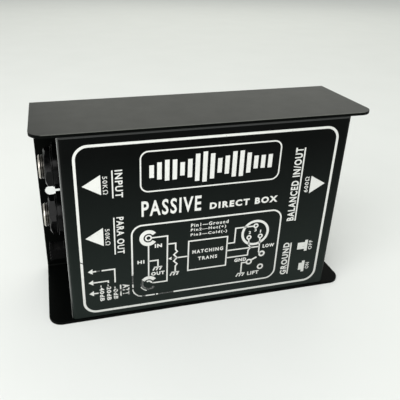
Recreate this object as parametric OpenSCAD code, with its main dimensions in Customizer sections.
// Passive direct injection box: two interleaved sheet-metal shells with recessed end panels.
// It stands on one long cheek. X runs from the jack end to the XLR end, Y from the printed
// face to the base plate, Z up. The origin is under the middle of the box, on the lower cheek.

/* [Shells] */
// Overall length, over the cheeks that stand out past both end panels
box_l = 130; // [124:1:140]
// Overall depth, from the cheeks' front edges to the base plate's outer face
box_d = 41; // [40:0.5:48]
// Overall height, over both cheeks
box_h = 81; // [80:1:90]
// Sheet thickness of both shells
sheet_t = 1.2; // [1:0.1:1.5]
// How far the cheeks stand out past each end panel
wing_l = 9.1; // [8:0.1:11]
// How far the printed face sits behind the cheeks' front edges
face_inset = 0.5; // [0.2:0.1:1]
// Gap between the cover and each cheek
cover_gap = 0.15; // [0.1:0.05:0.3]
// Outer radius of the sheet bends
bend_r = 2.0; // [1.6:0.1:2.5]
// Radius of the cheeks' front corners
cheek_corner_r = 5.5; // [3:0.5:8]

/* [Wing slots] */
// Width of the fixing slot in each wing of the base plate
slot_w = 5.0; // [4:0.1:5.4]
// Length of the fixing slot
slot_l = 6.4; // [6:0.1:6.8]
// Distance of the slots' centres from the middle of the box
slot_x = 59.4; // [59:0.1:60]

/* [Jacks] */
// Bore of the threaded bushing, for a 6.35 mm plug
jack_bore_d = 6.5; // [6.4:0.05:6.7]
// Outside diameter of the threaded bushing
bushing_d = 9.5; // [9:0.1:10]
// How far the bushing stands out from the end panel
bushing_out = 7.4; // [6:0.1:8]
// Size of the hexagon nut across its flats
jack_nut_af = 14; // [13:0.5:15]
// Outside diameter of the insulating washer
insulator_d = 18.1; // [17.6:0.1:19]
// Height of the input jack's axis
input_jack_z = 61.2; // [60:0.1:64]
// Height of the parallel jack's axis
link_jack_z = 40.0; // [39.5:0.1:40.2]

/* [Attenuator switch] */
// Height of the slider in its middle position
pad_z = 17.3; // [16.5:0.1:17.5]
// Distance between two neighbouring positions of the slider
pad_step = 5.0; // [4:0.1:5]
// Width of the slider's knob
pad_knob_w = 5.8; // [5:0.1:6]
// How far the slider's knob stands out from the end panel
pad_knob_out = 6.6; // [5:0.1:7.5]

/* [Balanced connector] */
// Height of the connector's axis
xlr_z = 52.4; // [50:0.1:56]
// Inside diameter of the connector's shell
xlr_bore_d = 18.8; // [18.6:0.05:19]
// Diameter of a contact pin
xlr_pin_d = 2.4; // [2.3:0.05:2.5]

/* [Ground switch] */
// Height of the push button's axis
button_z = 17.3; // [16:0.1:22]
// Diameter of the button's cap
button_d = 7.4; // [6:0.1:7.6]
// Travel of the button
button_travel = 2.5; // [2:0.1:2.6]

/* [Transformer] */
// Length of the laminated core
core_l = 24; // [20:0.5:24]
// Height of the laminated core
core_h = 20; // [16:0.5:20]
// Thickness of the stack of laminations
core_stack = 10; // [8:0.5:10]

/* [Hidden] */
$fn = 48;
eps = 0.01;

// Shell planes
y_front = -box_d / 2;
y_back = box_d / 2;
y_face = y_front + face_inset;
y_base = y_back - sheet_t;
x_end = box_l / 2 - wing_l;
x_in = x_end - sheet_t;
z_low = sheet_t + cover_gap;
z_high = box_h - sheet_t - cover_gap;
slot_z = box_h / 2;
axis_y = -0.5;
flange_w = 9;
inner_bend_r = bend_r - sheet_t;
bend_trim = inner_bend_r + 0.1;

// Flat-head screws: M3 holds the cover and the connector, M2.5 the switch frames
m3_hole_r = 1.6;
m3_shank_r = 1.45;
m3_head_r = 2.7;
m25_hole_r = 1.35;
m25_shank_r = 1.2;
m25_head_r = 1.9;
cover_screw_x = 50.5;
cover_screw_z = [12, box_h - 12];

// Jack planes, as distances from the end panel's outer face
insulator_t = 2.0;
nut_flange_t = 0.6;
nut_t = 2.6;
nut_turn = 22.5;
jack_size = 18;
jack_body_l = 23.7;
jack_channel_r = 3.6;
bushing_in = 4.9;
insulator_bore_r = bushing_d / 2 + 0.05;
panel_hole_r = 5.6;

// Attenuator switch
pad_frame_t = 0.6;
pad_can = [6, 11, 18];
pad_can_wall = 0.5;
pad_screw_z = 10.3;
pad_ear_half_z = 13.5;
pad_knob_h = 5.6;
pad_slot_half_y = pad_knob_w / 2 + 0.4;
pad_slot_half_z = pad_knob_h / 2 + pad_step + 0.2;
pad_carrier = [4.3, 9, 7.8];
pad_bridge_t = 0.6;
pad_base_t = 1.5;
pad_tag = [4, 1.8, 0.5];
pad_tag_y = 2.8;
pad_rest_z = pad_z + pad_step;

// Balanced connector
xlr_flange = [26, 31];
xlr_flange_t = 2;
xlr_body_r = 11.8;
xlr_body_l = 18;
xlr_cavity = 13.9;
xlr_pin_circle = 4.4;
xlr_pin_l = 21;
xlr_pin_back = 1.6;
xlr_cup_r = 0.9;
xlr_screw = [9.5, 12];

// Ground switch
ground_frame_t = 0.6;
ground_body_w = 8.4;
ground_body_l = 18;
ground_tag_l = 3.5;
ground_tag_step = [2.2, 2.6];
ground_screw_z = 8.5;
latch_r = 0.35;
plunger_w = 3.6;
cap_out = 6.4;
cap_t = 5.4;
cap_dish_r = 8.7;
spring_wire_r = 0.25;
spring_coil_r = 2.3;
spring_turns = 8;

// Transformer and circuit board
core_x = 16;
core_y = 11.2;
core_z = 40.5;
bracket_t = 0.8;
bracket_w = 3;
bracket_foot_l = 8;
bracket_foot_x = 17;
board_x = [-24, -6];
board_z = [14, 64];
board_y = 13.2;
board_t = 1.6;
resistor_z = [24, 31, 47, 54];
m3_nut_t = 2.4;
m3_nut_af = 5.5;

// Wires, which stop just short of the metal that they are soldered to
wire_r = 0.55;
solder_gap = 0.15;
lug_t = 0.4;
lug_z = 6.4;
lug_l = 4;

black_coat = [0.05, 0.055, 0.055];
black_plastic = [0.04, 0.04, 0.045];
chrome = [0.82, 0.83, 0.84];
zinc = [0.62, 0.63, 0.62];
brass = [0.78, 0.66, 0.34];

// Rectangle with two opposite corners and one rounding radius
module round_rect(a, b, r) {
    translate([a[0] + r, a[1]]) square([b[0] - a[0] - 2 * r, b[1] - a[1]]);
    translate([a[0], a[1] + r]) square([b[0] - a[0], b[1] - a[1] - 2 * r]);
    for (x = [a[0] + r, b[0] - r], y = [a[1] + r, b[1] - r]) translate([x, y]) circle(r);
}

// Box given by its lowest and highest corners
module block(a, b) {
    translate(a) cube([for (i = [0:2]) b[i] - a[i]]);
}

// Cylinder along X between two planes
module rod_x(x0, x1, r, y = 0, z = 0, sides = $fn) {
    translate([x0, y, z]) rotate([0, 90, 0]) cylinder(h = x1 - x0, r = r, $fn = sides);
}

// Cylinder along Y between two planes
module rod_y(y0, y1, r, x = 0, z = 0) {
    translate([x, y0, z]) rotate([-90, 0, 0]) cylinder(h = y1 - y0, r = r);
}

// Cylinder along Z between two planes
module rod_z(z0, z1, r, x = 0, y = 0) {
    translate([x, y, z0]) cylinder(h = z1 - z0, r = r);
}

// Turns a body drawn along +Z from the origin so that it runs along -X from the left end
// panel's outer face, at a given height
module on_left_panel(z) {
    translate([-x_end, axis_y, z]) rotate([0, -90, 0]) children();
}

// The same along +X from the right end panel's outer face
module on_right_panel(z) {
    translate([x_end, axis_y, z]) rotate([0, 90, 0]) children();
}

// Countersunk hole cutter: the head's top is at z = 0 and the shank goes down
module sink(r, head_r, depth) {
    translate([0, 0, -depth]) cylinder(h = depth + eps, r = r);
    translate([0, 0, r - head_r]) cylinder(h = head_r - r, r1 = r, r2 = head_r);
    cylinder(h = 1, r = head_r);
}

// Flat-head screw with a cross recess: the head's top is at z = 0
module flat_screw(shank_r, head_r, length) {
    difference() {
        union() {
            translate([0, 0, shank_r - head_r])
                cylinder(h = head_r - shank_r, r1 = shank_r, r2 = head_r);
            translate([0, 0, -length]) cylinder(h = length + shank_r - head_r, r = shank_r);
        }
        for (turn = [0, 90]) rotate(turn)
            translate([-head_r * 0.55, -head_r * 0.12, -head_r * 0.3])
                cube([head_r * 1.1, head_r * 0.24, head_r]);
    }
}

// M3 nut that stands on z = 0
module m3_nut() difference() {
    cylinder(h = m3_nut_t, r = m3_nut_af / 2 / cos(30), $fn = 6);
    translate([0, 0, -1]) cylinder(h = m3_nut_t + 2, r = m3_shank_r + 0.02);
}

// Chain of flat strips of one thickness through points in the XZ plane, width along Y
module strip(points, t, w) {
    for (i = [0 : len(points) - 2]) {
        a = points[i];
        b = points[i + 1];
        run = norm(b - a);
        translate([a[0], -w / 2, a[1]]) rotate([0, -atan2(b[1] - a[1], b[0] - a[0]), 0])
            translate([0, 0, -t / 2]) cube([run, w, t]);
    }
    if (len(points) > 2) for (i = [1 : len(points) - 2])
        translate([points[i][0], -w / 2, points[i][1]]) rotate([-90, 0, 0])
            cylinder(h = w, r = t / 2, $fn = 16);
}

// Smooth curve through a list of points
function spline_point(p, i, u) =
    let (a = p[max(i - 1, 0)], b = p[i], c = p[i + 1], d = p[min(i + 2, len(p) - 1)])
    0.5 * (2 * b + (c - a) * u + (2 * a - 5 * b + 4 * c - d) * u * u
        + (3 * b - a - 3 * c + d) * u * u * u);
function spline(p, n) = concat(
    [for (i = [0 : len(p) - 2], k = [0 : n - 1]) spline_point(p, i, k / n)], [p[len(p) - 1]]);
function unit(v) = v / norm(v);
function path_dir(p, i) = unit(p[min(i + 1, len(p) - 1)] - p[max(i - 1, 0)]);
function side_dir(d) = unit(cross(d, abs(d[2]) < 0.9 ? [0, 0, 1] : [1, 0, 0]));

// Carries the first ring's side direction along the path, so that the tube doesn't twist
function carried_sides(p, i = 0, last = undef) =
    i >= len(p) ? [] :
    let (d = path_dir(p, i), s = last == undef ? side_dir(d) : unit(last - (last * d) * d))
    concat([s], carried_sides(p, i + 1, s));

// Round tube along a path of points
module tube(p, r, sides) {
    dirs = [for (i = [0 : len(p) - 1]) path_dir(p, i)];
    us = carried_sides(p);
    rings = [for (i = [0 : len(p) - 1], k = [0 : sides - 1])
        p[i] + r * (cos(360 * k / sides) * us[i] + sin(360 * k / sides) * cross(dirs[i], us[i]))];
    n = len(p);
    polyhedron(rings, concat(
        [[for (k = [0 : sides - 1]) k]],
        [for (i = [0 : n - 2], k = [0 : sides - 1]) let (m = (k + 1) % sides)
            [i * sides + k, (i + 1) * sides + k, (i + 1) * sides + m, i * sides + m]],
        [[for (k = [sides - 1 : -1 : 0]) (n - 1) * sides + k]]));
}

module wire(points, r = wire_r) {
    tube(spline(points, 4), r, 8);
}

// ---- Shells ----

// Base plate with the two cheeks folded forward from it
module base_shell() color(black_coat) difference() {
    intersection() {
        translate([-box_l / 2, 0, 0]) rotate([90, 0, 90]) linear_extrude(box_l) difference() {
            round_rect([y_front - 2 * bend_r, 0], [y_back, box_h], bend_r);
            round_rect([y_front - 3 * bend_r, sheet_t], [y_base, box_h - sheet_t], inner_bend_r);
        }
        linear_extrude(box_h) union() {
            round_rect([-box_l / 2, y_front], [box_l / 2, 0], cheek_corner_r);
            translate([-box_l / 2, -cheek_corner_r - 1]) square([box_l, box_d]);
        }
    }
    for (side = [-1, 1]) translate([side * slot_x, 0, slot_z]) {
        for (end = [-1, 1])
            rod_y(y_base - 1, y_back + 1, slot_w / 2, x = end * (slot_l - slot_w) / 2);
        block([-(slot_l - slot_w) / 2, y_base - 1, -slot_w / 2],
              [(slot_l - slot_w) / 2, y_back + 1, slot_w / 2]);
    }
    at_cover_screws() sink(m3_hole_r, m3_head_r, 4);
    at_bracket_screws() sink(m3_hole_r, m3_head_r, 4);
}

// Places children at the cover's four screws, with +Z pointing out of the base plate
module at_cover_screws() {
    for (x = [-cover_screw_x, cover_screw_x], z = cover_screw_z)
        translate([x, y_back, z]) rotate([-90, 0, 0]) children();
}

module at_bracket_screws() {
    for (x = [-bracket_foot_x, bracket_foot_x])
        translate([core_x + x, y_back, core_z]) rotate([-90, 0, 0]) children();
}

// Printed face, both end panels and the flanges that the base plate is screwed to
module cover_shell() color(black_coat) difference() {
    translate([0, 0, z_low]) linear_extrude(z_high - z_low) difference() {
        round_rect([-x_end, y_face], [x_end, y_base], bend_r);
        round_rect([-x_in, y_face + sheet_t], [x_in, y_base - sheet_t], inner_bend_r);
        translate([-x_in + flange_w, 0]) square([2 * (x_in - flange_w), box_d]);
    }
    for (z = [[0, z_low + bend_trim], [z_high - bend_trim, box_h]])
        block([-box_l, y_base - bend_r, z[0]], [box_l, y_base + 1, z[1]]);
    for (x = [-cover_screw_x, cover_screw_x], z = cover_screw_z)
        rod_y(y_base - sheet_t - 1, y_base + 1, m3_shank_r + 0.02, x = x, z = z);
    for (z = [input_jack_z, link_jack_z])
        rod_x(-x_end - 1, -x_in + 1, panel_hole_r, y = axis_y, z = z);
    block([-x_end - 1, axis_y - pad_slot_half_y, pad_z - pad_slot_half_z],
          [-x_in + 1, axis_y + pad_slot_half_y, pad_z + pad_slot_half_z]);
    for (s = [-1, 1]) on_left_panel(pad_z + s * pad_screw_z) sink(m25_hole_r, m25_head_r, 4);
    rod_x(x_in - 1, x_end + 1, xlr_body_r + 0.2, y = axis_y, z = xlr_z);
    for (s = [-1, 1])
        rod_x(x_in - 1, x_end + 1, m3_hole_r, y = axis_y + s * xlr_screw[0],
            z = xlr_z + s * xlr_screw[1]);
    rod_x(x_in - 1, x_end + 1, button_d / 2 + 0.4, y = axis_y, z = button_z);
    for (s = [-1, 1]) on_right_panel(button_z + s * ground_screw_z)
        sink(m25_hole_r, m25_head_r, 4);
}

module cover_screws() color(black_plastic)
    at_cover_screws() flat_screw(m3_shank_r, m3_head_r, 7);

// ---- Jacks, at a given height ----

// Moulded body behind the end panel, with the plug's channel and a chamber for the contacts
module jack_body(z) color(black_plastic) translate([-x_in, axis_y, z]) difference() {
    block([0, -jack_size / 2, -jack_size / 2], [jack_body_l, jack_size / 2, jack_size / 2]);
    rod_x(-1, bushing_in - sheet_t, insulator_bore_r);
    rod_x(0, jack_body_l - 1.5, jack_channel_r);
    for (s = [-1, 1])
        block([8, -2, s > 0 ? 0 : -7.4], [jack_body_l + 1, 2, s > 0 ? 7.4 : 0]);
    for (y = [-1, 1], s = [-1, 1])
        block([6, y * jack_size / 2 - 0.5, s * 5 - 1.5], [20, y * jack_size / 2 + 0.5, s * 5 + 1.5]);
}

// Threaded metal sleeve that the plug goes through
module jack_bushing(z) color(chrome) on_left_panel(z) {
    rotate_extrude() difference() {
        translate([jack_bore_d / 2, -bushing_in]) union() {
            square([bushing_d / 2 - jack_bore_d / 2, bushing_in + bushing_out - 0.4]);
            square([bushing_d / 2 - jack_bore_d / 2 - 0.4, bushing_in + bushing_out]);
        }
        for (k = [0 : 3]) translate([bushing_d / 2, bushing_out - 1.1 - 0.9 * k])
            rotate(45) square(0.4, center = true);
    }
    translate([0, 0, bushing_out - 0.4]) difference() {
        cylinder(h = 0.4, r1 = bushing_d / 2, r2 = bushing_d / 2 - 0.4);
        translate([0, 0, -1]) cylinder(h = 3, r = jack_bore_d / 2);
    }
}

// Shouldered plastic washer that keeps the jack off the metal panel
module jack_insulator(z) color(black_plastic) on_left_panel(z) difference() {
    union() {
        cylinder(h = insulator_t, r = insulator_d / 2);
        translate([0, 0, -sheet_t]) cylinder(h = sheet_t + eps, r = panel_hole_r - 0.05);
    }
    translate([0, 0, -5]) cylinder(h = 10, r = insulator_bore_r);
}

// Hexagon nut with a thin round flange and a turned chamfer on its outer face
module jack_nut(z) color(black_plastic) on_left_panel(z) translate([0, 0, insulator_t])
    difference() {
        union() {
            cylinder(h = nut_flange_t, r = jack_nut_af / 2 / cos(30) + 0.1);
            intersection() {
                rotate(-nut_turn) cylinder(h = nut_flange_t + nut_t,
                    r = jack_nut_af / 2 / cos(30), $fn = 6);
                union() {
                    cylinder(h = nut_flange_t + nut_t - 1, r = jack_nut_af);
                    translate([0, 0, nut_flange_t + nut_t - 1])
                        cylinder(h = 1, r1 = jack_nut_af / 2 + 1.3, r2 = jack_nut_af / 2 - 0.4);
                }
            }
        }
        translate([0, 0, -1]) cylinder(h = 10, r = insulator_bore_r);
    }

// Tip spring above the plug's channel, sleeve spring below it, both with solder lugs behind
module jack_contacts(z) color(zinc) translate([-x_in, axis_y, z]) for (s = [-1, 1])
    scale([1, 1, s]) strip([[9, lug_z], [12, lug_z + 0.4], [jack_body_l - 5, 4],
        [jack_body_l - 2.5, lug_z], [jack_body_l + lug_l, lug_z]], lug_t, 3);

module input_jack_body() jack_body(input_jack_z);
module input_jack_bushing() jack_bushing(input_jack_z);
module input_jack_insulator() jack_insulator(input_jack_z);
module input_jack_nut() jack_nut(input_jack_z);
module input_jack_contacts() jack_contacts(input_jack_z);
module link_jack_body() jack_body(link_jack_z);
module link_jack_bushing() jack_bushing(link_jack_z);
module link_jack_insulator() jack_insulator(link_jack_z);
module link_jack_nut() jack_nut(link_jack_z);
module link_jack_contacts() jack_contacts(link_jack_z);

// ---- Attenuator switch: three-position slide switch behind the left end panel ----

// Folded metal can with two ears that the screws go into
module pad_switch_frame() color(zinc) translate([-x_in, axis_y, pad_z]) difference() {
    union() {
        block([0, -3.6, -pad_ear_half_z], [pad_frame_t, 3.6, pad_ear_half_z]);
        block([0, -pad_can[1] / 2, -pad_can[2] / 2], [pad_can[0], pad_can[1] / 2, pad_can[2] / 2]);
    }
    block([pad_frame_t, pad_can_wall - pad_can[1] / 2, -pad_can[2]],
          [pad_can[0] + 1, pad_can[1] / 2 - pad_can_wall, pad_can[2]]);
    block([-1, -pad_slot_half_y, -pad_slot_half_z], [pad_can[0], pad_slot_half_y, pad_slot_half_z]);
    for (s = [-1, 1]) rod_x(-1, 2, m25_shank_r + 0.02, z = s * pad_screw_z);
}

module pad_switch_screws() color(black_plastic)
    for (s = [-1, 1]) on_left_panel(pad_z + s * pad_screw_z)
        flat_screw(m25_shank_r, m25_head_r, 3.5);

// Laminate plate that closes the can and holds the terminals
module pad_switch_base() color([0.45, 0.26, 0.12])
    translate([-x_in + pad_can[0], axis_y, pad_z])
        block([0, -pad_can[1] / 2, -pad_can[2] / 2 - 0.8],
              [pad_base_t, pad_can[1] / 2, pad_can[2] / 2 + 0.8]);

module pad_switch_terminals() color(zinc)
    translate([-x_in + pad_can[0] + pad_base_t, axis_y, pad_z])
        for (y = [-1, 1] * pad_tag_y, k = [-1.5 : 1.5])
            block([0, y - pad_tag[1] / 2, k * pad_step - pad_tag[2] / 2],
                  [pad_tag[0], y + pad_tag[1] / 2, k * pad_step + pad_tag[2] / 2]);

// Knob and carrier in one moulding, drawn in the 0 dB position at the top of its travel
module pad_switch_slider() color(black_plastic) translate([-x_in, axis_y, pad_rest_z]) {
    tip = -sheet_t - pad_knob_out;
    carrier_x = pad_frame_t + 0.2;
    difference() {
        union() {
            block([tip, -pad_knob_w / 2, -pad_knob_h / 2],
                  [carrier_x + 1, pad_knob_w / 2, pad_knob_h / 2]);
            block([carrier_x, -pad_carrier[1] / 2, -pad_carrier[2] / 2],
                  [carrier_x + pad_carrier[0], pad_carrier[1] / 2, pad_carrier[2] / 2]);
        }
        for (k = [-1 : 1]) block([tip - 1, -pad_knob_w, k * 1.5 - 0.3],
                                 [tip + 0.5, pad_knob_w, k * 1.5 + 0.3]);
        for (z = [-1, 1] * pad_knob_h / 2) block([tip + 1.4, -pad_knob_w, z - 0.35],
                                                 [-sheet_t - 0.8, pad_knob_w, z + 0.35]);
    }
}

// Two spring bridges that the carrier drags over the terminals' heads
module pad_switch_bridges() color(brass)
    translate([-x_in + pad_frame_t + 0.2 + pad_carrier[0], axis_y, pad_rest_z])
        for (y = [-1, 1] * pad_tag_y)
            block([0, y - 0.8, -3.2], [pad_bridge_t, y + 0.8, 3.2]);

// ---- Balanced connector: three-pin male socket in the right end panel ----

module xlr_shell() color(zinc) on_right_panel(xlr_z) difference() {
    union() {
        linear_extrude(xlr_flange_t)
            round_rect([-xlr_flange[1] / 2, -xlr_flange[0] / 2],
                       [xlr_flange[1] / 2, xlr_flange[0] / 2], 3);
        translate([0, 0, -xlr_body_l]) cylinder(h = xlr_body_l + eps, r = xlr_body_r);
    }
    translate([0, 0, xlr_flange_t - xlr_cavity])
        cylinder(h = xlr_cavity + 1, r = xlr_bore_d / 2);
    translate([0, 0, xlr_flange_t - 0.5])
        cylinder(h = 0.6, r1 = xlr_bore_d / 2, r2 = xlr_bore_d / 2 + 0.6);
    translate([0, 0, -xlr_body_l - 1]) cylinder(h = xlr_body_l, r = xlr_bore_d / 2 - 1);
    for (s = [-1, 1]) translate([-s * xlr_screw[1], s * xlr_screw[0], xlr_flange_t])
        sink(m3_hole_r, m3_head_r, 5);
}

// Positions of the three pins on the connector's face
function xlr_pin_at(k) = [for (f = [cos(120 * k + 180), sin(120 * k + 180)]) xlr_pin_circle * f];

// Plastic plug at the bottom of the socket
module xlr_insert() color(black_plastic) on_right_panel(xlr_z) difference() {
    union() {
        translate([0, 0, xlr_flange_t - xlr_cavity - 4]) cylinder(h = 4, r = xlr_bore_d / 2 - 1);
        translate([0, 0, xlr_flange_t - xlr_cavity]) cylinder(h = 1, r = xlr_bore_d / 2 - 0.05);
    }
    for (k = [0 : 2]) translate(concat(xlr_pin_at(k), [-40])) cylinder(h = 60, r = xlr_pin_d / 2);
}

// Contact pins with rounded tips in front and solder cups behind
module xlr_pins() color(zinc) on_right_panel(xlr_z) for (k = [0 : 2])
    translate(concat(xlr_pin_at(k), [xlr_flange_t - xlr_pin_back])) difference() {
        union() {
            sphere(xlr_pin_d / 2);
            translate([0, 0, -xlr_pin_l]) cylinder(h = xlr_pin_l, r = xlr_pin_d / 2);
        }
        translate([0, 0, -xlr_pin_l - 1]) cylinder(h = 4, r = xlr_cup_r);
    }

module at_xlr_screws() {
    on_right_panel(xlr_z) for (s = [-1, 1])
        translate([-s * xlr_screw[1], s * xlr_screw[0], 0]) children();
}

module xlr_screws() color(black_plastic) at_xlr_screws()
    translate([0, 0, xlr_flange_t]) flat_screw(m3_shank_r, m3_head_r, 8);

module xlr_nuts() color(zinc) at_xlr_screws() translate([0, 0, -sheet_t - m3_nut_t]) m3_nut();

// ---- Ground switch: latching push switch behind the right end panel ----

module ground_switch_frame() color(zinc) translate([x_in, axis_y, button_z]) difference() {
    block([-ground_frame_t, -4.4, -ground_screw_z - 2.6], [0, 4.4, ground_screw_z + 2.6]);
    rod_x(-2, 1, button_d / 2 + 0.4);
    for (s = [-1, 1]) rod_x(-2, 1, m25_shank_r + 0.02, z = s * ground_screw_z);
}

module ground_switch_screws() color(black_plastic)
    for (s = [-1, 1]) on_right_panel(button_z + s * ground_screw_z)
        flat_screw(m25_shank_r, m25_head_r, 4.5);

// Moulded case with a chamber for the spring and the plunger's collar
module ground_switch_body() color([0.12, 0.12, 0.13])
    translate([x_in - ground_frame_t, axis_y, button_z]) difference() {
        block([-ground_body_l, -ground_body_w / 2, -ground_body_w / 2],
              [0, ground_body_w / 2, ground_body_w / 2]);
        block([-ground_body_l + 1.2, -3.2, -3.2], [-0.8, 3.2, 3.2]);
        block([-1, -plunger_w / 2 - 0.2, -plunger_w / 2 - 0.2],
              [1, plunger_w / 2 + 0.2, plunger_w / 2 + 0.2]);
        block([-12, -0.6, 3], [-5, 0.6, 6]);
    }

module ground_switch_terminals() color(zinc)
    translate([x_in - ground_frame_t - ground_body_l, axis_y, button_z])
        for (y = [-1, 1] * ground_tag_step[0], z = [-1, 0, 1] * ground_tag_step[1])
            block([-ground_tag_l, y - 0.5, z - 0.2], [0, y + 0.5, z + 0.2]);

// Bent wire that holds the plunger in when it has been pressed
module ground_switch_latch() color(zinc)
    translate([x_in - ground_frame_t, axis_y, button_z + ground_body_w / 2 + latch_r])
        rod_x(-14, -4, latch_r);

// Plunger with the collar that the spring pushes against
module ground_switch_plunger() color([0.9, 0.88, 0.8])
    translate([x_end, axis_y, button_z]) {
        block([-5.4, -plunger_w / 2, -plunger_w / 2],
              [cap_out - 2, plunger_w / 2, plunger_w / 2]);
        block([-6.2, -2.9, -2.9], [-3.2, 2.9, 2.9]);
    }

// Round push-on cap
module ground_switch_cap() color(black_plastic) on_right_panel(button_z) difference() {
    union() {
        translate([0, 0, cap_out - cap_t]) cylinder(h = cap_t - 0.5, r = button_d / 2);
        translate([0, 0, cap_out - 0.5])
            cylinder(h = 0.5, r1 = button_d / 2, r2 = button_d / 2 - 0.5);
    }
    translate([-plunger_w / 2, -plunger_w / 2, -1])
        cube([plunger_w, plunger_w, cap_out - 1]);
    translate([0, 0, cap_out + cap_dish_r - 0.3]) sphere(cap_dish_r, $fn = 96);
}

// Coil spring between the case's rear wall and the plunger's collar
module ground_switch_spring() color(zinc)
    translate([x_in - ground_frame_t, axis_y, button_z]) {
    from = -ground_body_l + 1.2 + spring_wire_r;
    to = -4.4 - spring_wire_r;
    turn_steps = 14;
    tube([for (i = [0 : spring_turns * turn_steps]) let (a = 360 * i / turn_steps)
        [from + (to - from) * i / (spring_turns * turn_steps),
         spring_coil_r * cos(a), spring_coil_r * sin(a)]], spring_wire_r, 6);
}

// ---- Matching transformer, on the base plate ----

module transformer_core() color([0.35, 0.35, 0.36]) translate([core_x, core_y, core_z])
    difference() {
        block([-core_l / 2, -core_stack / 2, -core_h / 2],
              [core_l / 2, core_stack / 2, core_h / 2]);
        for (s = [-1, 1]) block([s * core_l / 4 - core_l / 12, -core_stack, -core_h / 2 + 4],
            [s * core_l / 4 + core_l / 12, core_stack, core_h / 2 - 4]);
    }

core_window_h = core_h - 8;
core_leg_w = core_l / 3;

// Bobbin round the core's middle leg, with a cheek at each end
module transformer_bobbin() color([0.85, 0.83, 0.75]) translate([core_x, core_y, core_z])
    difference() {
        union() {
            for (s = [-1, 1]) block([-core_leg_w / 2 - 3.6, -core_stack / 2 - 3.6,
                s * (core_window_h / 2 - 0.6) - 0.5], [core_leg_w / 2 + 3.6,
                core_stack / 2 + 2.9, s * (core_window_h / 2 - 0.6) + 0.5]);
            block([-core_leg_w / 2 - 0.8, -core_stack / 2 - 0.8, -core_window_h / 2 + 1],
                  [core_leg_w / 2 + 0.8, core_stack / 2 + 0.8, core_window_h / 2 - 1]);
        }
        block([-core_leg_w / 2, -core_stack / 2, -core_h], [core_leg_w / 2, core_stack / 2, core_h]);
    }

// Copper winding under its tape
module transformer_winding() color([0.75, 0.62, 0.2]) translate([core_x, core_y, core_z])
    difference() {
        block([-core_leg_w / 2 - 3.2, -core_stack / 2 - 3.2, -core_window_h / 2 + 1.1],
              [core_leg_w / 2 + 3.2, core_stack / 2 + 2.7, core_window_h / 2 - 1.1]);
        block([-core_leg_w / 2 - 0.8, -core_stack / 2 - 0.8, -core_h],
              [core_leg_w / 2 + 0.8, core_stack / 2 + 0.8, core_h]);
    }

// Two steel straps over the core's ends, with a foot on each side
module transformer_bracket() color(zinc) translate([core_x, 0, core_z]) {
    half = core_l / 2;
    out = half + bracket_t;
    top = core_y - core_stack / 2;
    for (z = [1 - core_h / 2, core_h / 2 - 1 - bracket_w]) {
        block([-out, top - bracket_t, z], [out, top, z + bracket_w]);
        for (x = [-out, half]) block([x, top, z], [x + bracket_t, y_base, z + bracket_w]);
    }
    for (s = [-1, 1]) difference() {
        block([s > 0 ? half : -half - bracket_foot_l, y_base - bracket_t, 1 - core_h / 2],
              [s > 0 ? half + bracket_foot_l : -half, y_base, core_h / 2 - 1]);
        rod_y(y_base - 2, y_base + 1, m3_hole_r, x = s * bracket_foot_x);
    }
}

module transformer_screws() color(black_plastic)
    at_bracket_screws() flat_screw(m3_shank_r, m3_head_r, 5.4);

module transformer_nuts() color(zinc) at_bracket_screws()
    translate([0, 0, -sheet_t - bracket_t - m3_nut_t]) m3_nut();

// ---- Circuit board with the attenuator's resistors ----

module at_spacers() {
    for (x = [board_x[0] + 3, board_x[1] - 3], z = [board_z[0] + 3, board_z[1] - 3])
        translate([x, 0, z]) children();
}

module circuit_board() color([0.5, 0.36, 0.14]) difference() {
    block([board_x[0], board_y, board_z[0]], [board_x[1], board_y + board_t, board_z[1]]);
    at_spacers() rod_y(board_y - 1, board_y + 3, 1.25);
}

// Snap-in posts glued to the base plate
module board_spacers() color([0.88, 0.87, 0.82]) at_spacers() {
    rod_y(board_y + board_t, y_base - 1, 2.2);
    rod_y(y_base - 1, y_base, 2.9);
    rod_y(board_y - 1, board_y + board_t, 1.2);
    rod_y(board_y - 2, board_y - 1, 1.5);
}

// Small resistors with capped ends and their leads bent down into the board
module pad_resistors() for (z = resistor_z)
    translate([(board_x[0] + board_x[1]) / 2, board_y - 1.5, z]) {
        color([0.72, 0.6, 0.42]) {
            rod_x(-3.1, 3.1, 1);
            for (x = [-3.1, 1.7]) rod_x(x, x + 1.4, 1.2);
        }
        color(zinc) for (s = [-1, 1]) {
            rod_x(s > 0 ? 3.1 : -5, s > 0 ? 5 : -3.1, 0.3);
            rod_y(-0.3, 1.5, 0.3, x = s * 4.7);
        }
    }

// ---- Wiring ----

// Where a wire ends: at a jack's lug, a tag of the attenuator switch, a point on the board, a
// wire-out of the transformer, a solder cup of the connector
function lug_end(z, s) = [-x_in + jack_body_l + lug_l + solder_gap, axis_y, z + s * lug_z];
function tag_end(y, k) = [-x_in + pad_can[0] + pad_base_t + pad_tag[0] + solder_gap,
    axis_y + y * pad_tag_y, pad_z + k * pad_step];
function board_end(x, z) = [x, board_y - solder_gap, z];
function coil_end(s, z) = [core_x + s * (core_leg_w / 2 + 3.8), core_y - 8, core_z + z];
function cup_end(k) = [x_end + xlr_flange_t - xlr_pin_back - xlr_pin_l + 0.6,
    axis_y + xlr_pin_at(k)[1], xlr_z - xlr_pin_at(k)[0]];

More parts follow.
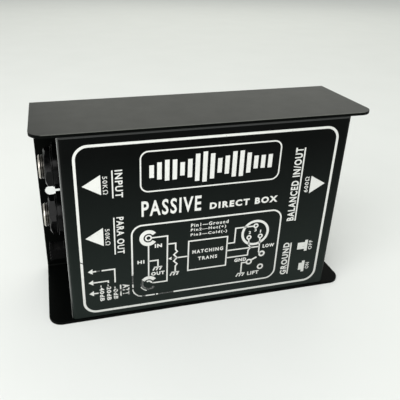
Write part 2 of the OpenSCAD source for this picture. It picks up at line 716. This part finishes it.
// Jack lugs to each other, and the attenuator switch to the board
module jack_wires() {
    color([0.75, 0.1, 0.08]) {
        wire([lug_end(input_jack_z, 1), lug_end(input_jack_z, 1) + [2, 0, 0],
            [-22.5, -3.5, 57], lug_end(link_jack_z, 1) + [2, 0, 0], lug_end(link_jack_z, 1)]);
        wire([tag_end(1, 1.5), tag_end(1, 1.5) + [2.5, 0, 0], [-34, 4.5, 26], [-28, 7, 26],
            board_end(-22.5, 24) - [0, 3, 0], board_end(-22.5, 24)]);
    }
    color([0.08, 0.08, 0.08]) {
        wire([lug_end(input_jack_z, -1), lug_end(input_jack_z, -1) + [2, 0, 0],
            [-22.5, 4.5, 44], lug_end(link_jack_z, -1) + [2, 0, 0], lug_end(link_jack_z, -1)]);
        wire([tag_end(-1, 0.5), tag_end(-1, 0.5) + [2.5, 0, 0], [-34, -5, 20], [-24, -6, 27],
            [-18, 3, 34], board_end(-16, 35) - [0, 3, 0], board_end(-16, 35)]);
    }
}

// Board to the transformer's primary
module transformer_wires() {
    color([0.85, 0.6, 0.1]) wire([board_end(-8, 42), board_end(-8, 42) - [0, 3, 0],
        [-3, 6, 44], [3, 2.5, 44.5], coil_end(-1, 3) - [2.5, 0, 0], coil_end(-1, 3)]);
    color([0.1, 0.35, 0.7]) wire([board_end(-8, 38), board_end(-8, 38) - [0, 3, 0],
        [-3, 6, 36], [3, 2.5, 36], coil_end(-1, -3) - [2.5, 0, 0], coil_end(-1, -3)]);
}

// Transformer's secondary to the connector, and its ground pin to the ground switch
module output_wires() {
    ground_tag = [x_in - ground_frame_t - ground_body_l - ground_tag_l - solder_gap,
        axis_y - ground_tag_step[0], button_z + ground_tag_step[1]];
    color([0.9, 0.9, 0.86]) wire([coil_end(1, 3), coil_end(1, 3) + [2.5, 0, 0],
        [29, 0, 48], [31, -0.5, 54], cup_end(0) - [2, 0, 0], cup_end(0)]);
    color([0.1, 0.4, 0.15]) wire([coil_end(1, -3), coil_end(1, -3) + [2.5, 0, 0],
        [29, 2.5, 42], cup_end(2) - [2, 0, 0], cup_end(2)]);
    color([0.08, 0.08, 0.08]) wire([cup_end(1), cup_end(1) - [2, 0, 0], [29.5, -5, 40],
        [28.5, -5, 28], ground_tag - [2, 0, 0], ground_tag]);
}

base_shell();
cover_shell();
cover_screws();
input_jack_body();
input_jack_bushing();
input_jack_insulator();
input_jack_nut();
input_jack_contacts();
link_jack_body();
link_jack_bushing();
link_jack_insulator();
link_jack_nut();
link_jack_contacts();
pad_switch_frame();
pad_switch_screws();
pad_switch_base();
pad_switch_terminals();
pad_switch_slider();
pad_switch_bridges();
xlr_shell();
xlr_insert();
xlr_pins();
xlr_screws();
xlr_nuts();
ground_switch_frame();
ground_switch_screws();
ground_switch_body();
ground_switch_terminals();
ground_switch_latch();
ground_switch_plunger();
ground_switch_cap();
ground_switch_spring();
transformer_core();
transformer_bobbin();
transformer_winding();
transformer_bracket();
transformer_screws();
transformer_nuts();
circuit_board();
board_spacers();
pad_resistors();
jack_wires();
transformer_wires();
output_wires();
